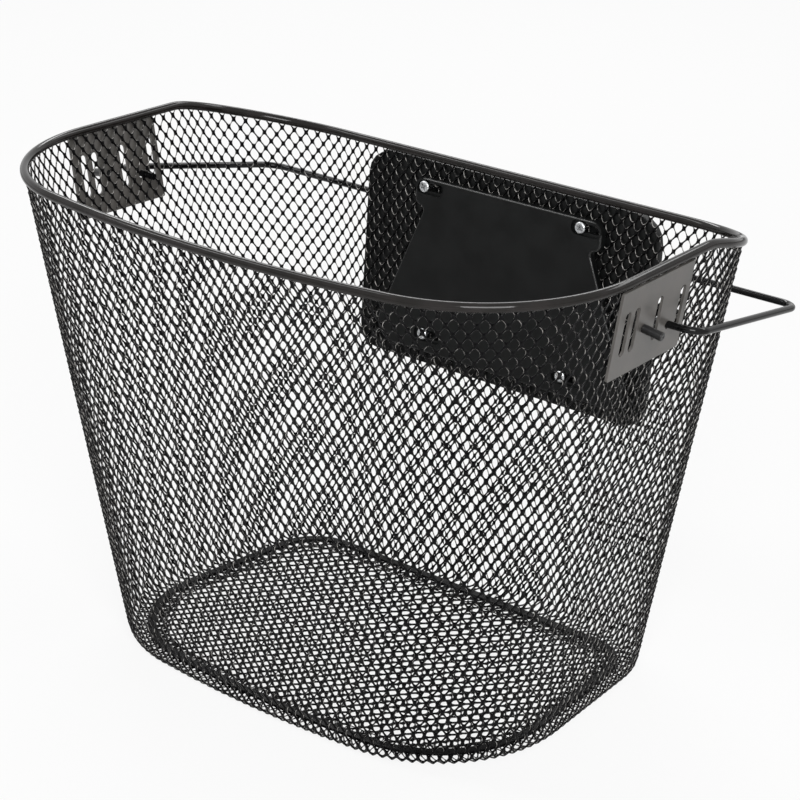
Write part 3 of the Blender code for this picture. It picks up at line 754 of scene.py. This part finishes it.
# The side plates' grey colour is a painted reflection of the bright room
for side in ("left", "right"):
    for label, shape, material in (
        ("slotted_side_plate_", side_plate(), plate_coat_painted_sheen), ("turned_side_peg_", side_peg(), peg_coat),
    ):
        part = piece(label + side, shape if side == "left" else mirrored(shape), material, smooth=50)
        even_shading(part)
        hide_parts(label.split("_", 1)[1] + side)


# Clamp plate: moulded, with a rounded edge and two-step slots for the screws
screw_labels = ("upper_right", "upper_left", "lower_right", "lower_left")
clamp_ear_radius = 7.5 * MM
clamp_ear_foot_radius = 4.5 * MM
clamp_neck_radius = 2.5 * MM
clamp_corner_radius = 12 * MM
edge_round_steps = 4
# A face whose normal leans from the plate's own by more than the one and less than the other lies on the rounding
flat_face_normal, side_face_normal = 0.99, 0.1


def screw_spots():
    """Middles of the four screws, measured on the rear wall: (across, up)."""
    spots = []
    for name in ["clamp_screw_" + label for label in screw_labels]:
        low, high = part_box(name)
        middle = rear_wall.inverted() @ ((Vector(low) + Vector(high)) / 2)
        spots.append((middle.x, middle.z))
    return spots


def obround(middle, length, width, y):
    """Outline of a slot with round ends, in the rear wall's plane."""
    x, z = middle
    corners = [
        Vector((x + length / 2 * across, y, z + width / 2 * up))
        for across, up in ((-1, -1), (1, -1), (1, 1), (-1, 1))
    ]
    return fillet(corners, [width / 2 * round_end_share] * 4, step=12)


def clamp_plate():
    """The clamp plate: its pierced face, then the edge and each slot pushed back from it, then the back."""
    front = clamp_back_out_y - clamp_thickness
    top, neck = -clamp_top_drop, -clamp_top_drop - clamp_ear_height
    foot = screw_spots()[-1][1] - clamp_foot_margin
    side = [
        (clamp_ear_half_width, top), (clamp_ear_half_width, neck),
        (clamp_neck_half_width, neck), (clamp_foot_half_width, foot),
    ]
    radii = [clamp_ear_radius, clamp_ear_foot_radius, clamp_neck_radius, clamp_corner_radius]
    corners = [Vector((x + clamp_shift, front, z)) for x, z in side + [(-x, z) for x, z in reversed(side)]]
    outline = fillet(corners, radii + radii[::-1], step=6)
    slots = [(x + clamp_shift, z) for x, z in screw_spots()]
    wider = recess_width - screw_slot_width
    mouths = [obround(spot, screw_slot_length + wider, recess_width, front) for spot in slots]
    ring = drawn_in(outline, clamp_edge_round)
    bm = pierced(ring, mouths, Vector((0, 0, 0)))
    slot_of = {}
    for edge in [e for e in bm.edges if e.is_boundary]:
        spot = edge.verts[0].co
        near = min(range(len(slots)), key=lambda n: (spot.xz - Vector(slots[n])).length)
        on_ring = min((point - spot).length for point in ring) < match_distance
        slot_of[edge] = None if on_ring else near
    outer = [e for e, n in slot_of.items() if n is None]
    for step in range(1, edge_round_steps + 1):
        angle = math.pi / 2 * step / edge_round_steps
        outer = pushed(bm, outer, Vector((0, 0, 0)))
        wider_ring = drawn_in(outline, clamp_edge_round * (1 - math.sin(angle)))
        for vert in {v for e in outer for v in e.verts}:
            index = min(range(len(ring)), key=lambda n: (ring[n].xz - vert.co.xz).length)
            vert.co = wider_ring[index] + Vector((0, clamp_edge_round * (1 - math.cos(angle)), 0))
        ring = wider_ring
    pushed(bm, outer, Vector((0, clamp_thickness - clamp_edge_round, 0)))
    straight = (screw_slot_length - screw_slot_width) / 2
    for number, (x, z) in enumerate(slots):
        loop = [e for e, n in slot_of.items() if n == number]
        loop = pushed(bm, loop, Vector((0, recess_depth, 0)))
        loop = pushed(bm, loop, Vector((0, 0, 0)))
        for vert in {v for e in loop for v in e.verts}:
            across = vert.co.x - x
            kept = max(-straight, min(straight, across))
            vert.co.x = x + kept + (across - kept) * screw_slot_width / recess_width
            vert.co.z = z + (vert.co.z - z) * screw_slot_width / recess_width
        pushed(bm, loop, Vector((0, clamp_thickness - recess_depth, 0)))
    open_rims = [e for e in bm.edges if e.is_boundary]
    bmesh.ops.triangle_fill(bm, use_beauty=True, use_dissolve=False, edges=open_rims, normal=(0, 1, 0))
    bmesh.ops.recalc_face_normals(bm, faces=bm.faces)
    bm.normal_update()
    # Faces on the rounding take the polished plastic, whose lighter colour is a painted highlight
    for face in bm.faces:
        if side_face_normal < abs(face.normal.y) < flat_face_normal:
            face.material_index = 1
    bmesh.ops.transform(bm, matrix=rear_wall, verts=bm.verts)
    return bm


def drawn_in(outline, depth):
    """An outline in the rear wall's plane, each point moved inward along its own normal."""
    moved = []
    for index, point in enumerate(outline):
        along = (outline[(index + 1) % len(outline)] - outline[index - 1]).normalized()
        moved.append(point + Vector((along.z, 0, -along.x)) * depth)
    return moved


def pushed(bm, edges, along):
    """Extrude a loop of edges along a vector, and return the new loop."""
    grown = bmesh.ops.extrude_edge_only(bm, edges=edges)["geom"]
    bmesh.ops.translate(bm, vec=along, verts=[v for v in grown if isinstance(v, bmesh.types.BMVert)])
    return [e for e in grown if isinstance(e, bmesh.types.BMEdge) and e.is_boundary]


clamp = piece("moulded_clamp_plate", clamp_plate(), moulded_plastic, smooth=50)
clamp.data.materials.append(polished_plastic_with_painted_highlight)
even_shading(clamp)
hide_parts("clamp_plate")


# Carrier plate: the source's solid, merged, with its top edge raised behind the rim and its edges rounded
carrier_edge_round = 0.35 * MM


def carrier_plate():
    """The carrier plate, made from the source's solid."""
    bm = bmesh.new()
    bm.from_mesh(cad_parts["carrier_plate"].data)
    bmesh.ops.remove_doubles(bm, verts=bm.verts, dist=merge_distance)
    bmesh.ops.transform(bm, matrix=rear_wall.inverted(), verts=bm.verts)
    crest = [v for v in bm.verts if v.co.z > carrier_crest_from and abs(v.co.x) < carrier_crest_half_width]
    bmesh.ops.translate(bm, vec=(0, 0, carrier_crest_rise), verts=crest)
    bmesh.ops.dissolve_limit(bm, angle_limit=math.radians(1), verts=bm.verts, edges=bm.edges)
    soft_edges(bm, carrier_edge_round, angle=40)
    bmesh.ops.transform(bm, matrix=rear_wall, verts=bm.verts)
    return bm


carrier = piece("moulded_carrier_plate", carrier_plate(), moulded_plastic, smooth=50)
even_shading(carrier)
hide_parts("carrier_plate")


# Screws: pan heads with a cross recess; nuts: hexagons with a chamfer
screw_end_inset = 0.2 * MM
screw_radius = 2 * MM
screw_chamfer = 0.3 * MM
head_radius = 3.5 * MM
head_flat_radius = 2.5 * MM
head_chamfer = 0.15 * MM
head_side = 1.1 * MM
head_crown = 1.1 * MM
head_crown_angles = (0, 0.4, 0.8, 1.2, math.pi / 2)
cross_reach = 2.0 * MM
cross_half_width = 0.62 * MM
cross_depth = 1.4 * MM
cross_floor_share = 0.72
screw_points = 64
nut_height = 3.2 * MM
nut_half_width = 3.5 * MM
nut_bore_radius = 2.3 * MM
nut_chamfer = 0.3 * MM


def pan_head_screw(x, z, turn):
    """A screw in its recess, its cross turned by an angle."""
    seat = clamp_back_out_y - clamp_thickness + recess_depth - seat_gap
    length = carrier_back_out_y - screw_end_inset - seat
    profile = [
        (0, -length), (screw_radius - screw_chamfer, -length), (screw_radius, screw_chamfer - length),
        (screw_radius, 0), (head_radius - head_chamfer, 0), (head_radius, head_chamfer),
    ]
    for angle in head_crown_angles:
        reach = head_flat_radius + (head_radius - head_flat_radius) * math.cos(angle)
        profile.append((reach, head_side + head_crown * math.sin(angle)))
    bm = turned(profile, Vector((0, 0, 0)), Vector((0, 0, 1)), steps=screw_points)
    rim_edges = [e for e in bm.edges if e.is_boundary]
    cross = bmesh.ops.create_circle(bm, cap_ends=False, segments=screw_points, radius=1.0)["verts"]
    for vert in cross:
        angle = math.atan2(vert.co.y, vert.co.x) % (math.pi / 2)
        angle = min(angle, math.pi / 2 - angle)
        reach = cross_reach / math.cos(angle)
        if math.tan(angle) * cross_reach > cross_half_width:
            reach = cross_half_width / math.sin(angle)
        vert.co = vert.co.normalized() * reach
        vert.co.z = head_side + head_crown
    cross_edges = list({e for v in cross for e in v.link_edges})
    bmesh.ops.bridge_loops(bm, edges=rim_edges + cross_edges)
    cross_edges = [e for e in bm.edges if e.is_boundary]
    walls = pushed(bm, cross_edges, Vector((0, 0, -cross_depth)))
    floor_verts = list({v for e in walls for v in e.verts})
    bmesh.ops.scale(bm, vec=(cross_floor_share, cross_floor_share, 1), verts=floor_verts)
    bmesh.ops.holes_fill(bm, edges=walls, sides=0)
    bmesh.ops.recalc_face_normals(bm, faces=bm.faces)
    lie = Matrix.Rotation(math.pi / 2, 4, "X") @ Matrix.Rotation(turn, 4, "Z")
    bmesh.ops.transform(bm, matrix=rear_wall @ Matrix.Translation((x, seat, z)) @ lie, verts=bm.verts)
    return bm


def polygon(x, y, z, radius, count):
    """Corners of a regular polygon in the rear wall's plane."""
    turns = [math.tau * number / count for number in range(count)]
    return [Vector((x + radius * math.cos(turn), y, z + radius * math.sin(turn))) for turn in turns]


def hexagon_nut(x, z):
    """A nut in its nest at the back of the carrier plate."""
    front = carrier_back_out_y - nut_height - seat_gap
    outline = polygon(x, front, z, nut_half_width / math.cos(math.pi / 6), 6)
    bore = polygon(x, front, z, nut_bore_radius, hole_points)
    nut = pierced(outline, [bore], Vector((0, nut_height, 0)))
    soft_edges(nut, nut_chamfer)
    bmesh.ops.transform(nut, matrix=rear_wall, verts=nut.verts)
    return nut


screw_turns = (0.5, 1.1, 0.2, 0.9)
for (x, z), label, turn in zip(screw_spots(), screw_labels, screw_turns):
    for name, node, shape in (
        ("pan_head_screw_", "clamp_screw_", pan_head_screw(x, z, turn)),
        ("hexagon_nut_", "clamp_nut_", hexagon_nut(x, z)),
    ):
        part = piece(name + label, shape, zinc_plate, smooth=30)
        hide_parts(node + label)


# Camera: fitted to points read off the photograph; its place is measured from a point near the rim's middle
photo_width = 800
sensor_width = 36
camera_focal_pixels = 2482.9
camera_distance = 1.3018
camera_sideways = 0.0171
camera_down = 0.11125
aim_ahead_of_rear = 0.1188
pitch, turn = math.radians(22.849), math.radians(40.848)
forward = Vector((-math.sin(turn) * math.cos(pitch), math.cos(turn) * math.cos(pitch), -math.sin(pitch)))
sideways = Vector((math.cos(turn), math.sin(turn), 0))
upward = sideways.cross(forward)
aim = Vector((0, rear_y - aim_ahead_of_rear, rim_height))
camera_data = bpy.data.cameras.new("camera")
camera_data.sensor_width = sensor_width
camera_data.lens = sensor_width * camera_focal_pixels / photo_width
camera = bpy.data.objects.new("camera", camera_data)
bpy.context.collection.objects.link(camera)
spot = aim - forward * camera_distance + sideways * camera_sideways - upward * camera_down
camera.matrix_world = Matrix.Translation(spot) @ Matrix((sideways, upward, -forward)).transposed().to_4x4()
bpy.context.scene.camera = camera


# Floor, lamps and the white room
def add_lamp(name, place, target, size, watts):
    """A rectangular lamp at a place, turned to its target."""
    data = bpy.data.lights.new(name, "AREA")
    data.shape = "RECTANGLE"
    data.size, data.size_y = size
    data.energy = watts
    lamp = bpy.data.objects.new(name, data)
    bpy.context.collection.objects.link(lamp)
    lamp.location = place
    lamp.rotation_euler = (Vector(target) - Vector(place)).to_track_quat("-Z", "Y").to_euler()


add_lamp("key_softbox", (1.28, -1.3, 1.14), (0, 0, 0.1), (1.0, 1.0), 36)
add_lamp("fill_strip", (-1.25, -0.7, 1.7), (0, 0, 0.1), (0.25, 1.2), 8)
add_lamp("rear_left_strip", (-1.3, 1.2, 1.5), (0, 0, 0.15), (1.6, 0.35), 15)
add_lamp("rear_right_strip", (0.5, 1.5, 1.6), (0, 0, 0.15), (1.6, 0.35), 9)

# White paper: the camera sees most of it as plain white, and the rest of it carries the shadow
paper_white = 0.85
paper_half_size = 6.0
floor_finish, floor_shader = finish("white_paper_sweep", Roughness=0.9)
floor_shader.inputs["Base Color"].default_value = paint_colour("#fafafa")
glow = add_node(floor_finish, "Emission")
seen_by = add_node(floor_finish, "LightPath")
share = add_node(
    floor_finish, "Math", settings={"operation": "MULTIPLY"}, inputs={1: paper_white},
    links=[(seen_by.outputs["Is Camera Ray"], 0)],
)
both = add_node(
    floor_finish, "MixShader", links=[(share.outputs[0], 0), (floor_shader.outputs[0], 1), (glow.outputs[0], 2)],
)
floor_finish.node_tree.links.new(both.outputs[0], floor_finish.node_tree.nodes["Material Output"].inputs["Surface"])
bm = bmesh.new()
bmesh.ops.create_grid(bm, x_segments=1, y_segments=1, size=paper_half_size)
mesh = bpy.data.meshes.new("paper_sweep")
bm.to_mesh(mesh)
bm.free()
mesh.materials.append(floor_finish)
paper = bpy.data.objects.new("paper_sweep", mesh)
bpy.context.collection.objects.link(paper)

# White room: plain white where it is seen, directly or in a reflection, and dim where it lights
room_seen = 1.0
room_light = 0.12
world = bpy.data.worlds.new("white_room")
bpy.context.scene.world = world
world.use_nodes = True
world.node_tree.nodes.clear()
rays = add_node(world, "LightPath")
seen = add_node(world, "Background", inputs={"Color": (1, 1, 1, 1), "Strength": room_seen})
lit = add_node(world, "Background", inputs={"Color": (1, 1, 1, 1), "Strength": room_light})
looked_at = rays.outputs["Is Camera Ray"]
for kind in ("Is Glossy Ray", "Is Transmission Ray"):
    looked_at = add_node(
        world, "Math", settings={"operation": "MAXIMUM"}, links=[(looked_at, 0), (rays.outputs[kind], 1)],
    ).outputs[0]
blend = add_node(world, "MixShader", links=[(looked_at, 0), (lit.outputs[0], 1), (seen.outputs[0], 2)])
add_node(world, "OutputWorld", links=[(blend.outputs[0], "Surface")])

bpy.context.scene.view_settings.view_transform = "Standard"
